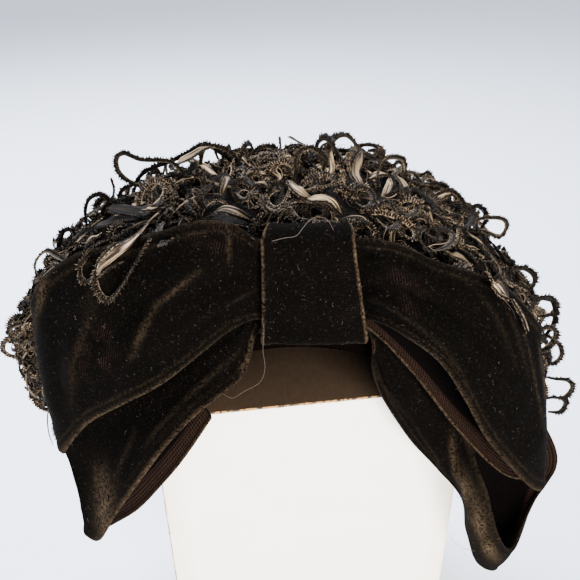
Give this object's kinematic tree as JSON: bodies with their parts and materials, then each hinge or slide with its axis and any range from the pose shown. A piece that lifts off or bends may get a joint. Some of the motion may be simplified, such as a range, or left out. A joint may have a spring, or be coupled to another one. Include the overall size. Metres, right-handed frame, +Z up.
{
  "type": "feather half hat with velvet bow on display box",
  "caption": "Half hat covered with looped feathers, with a two tier velvet bow and knot in front, set on a plain closed box.",
  "frame": {"origin": "centre of the display box's underside", "axes": "+Z up, the bow faces -Y, +X to the viewer's right; the box is turned 7.5 degrees about Z"},
  "size_m": [0.2833, 0.1707, 0.2928],
  "materials": {
    "velvet": "pile velvet, rubbed brown on its folds",
    "feather": "dyed trimmed feather barbs with tan vanes",
    "foundation": "stiff woven hat foundation",
    "white_card": "matt coated card",
    "brown_card": "plain brown board"
  },
  "bodies": {
    "root": {"display_box": "white_card", "box_top_board": "brown_card", "crown_right": "foundation", "crown_back": "foundation", "crown_left": "foundation", "crown_front": "foundation", "crown_top": "foundation", "feathers_right": "feather", "feathers_back": "feather", "feathers_left": "feather", "feathers_front": "feather", "feathers_top": "feather", "bow_knot": "velvet", "bow_upper_loop_left": "velvet", "bow_upper_loop_right": "velvet", "bow_lower_loop_left": "velvet", "bow_lower_loop_right": "velvet"}
  },
  "joints": []
}
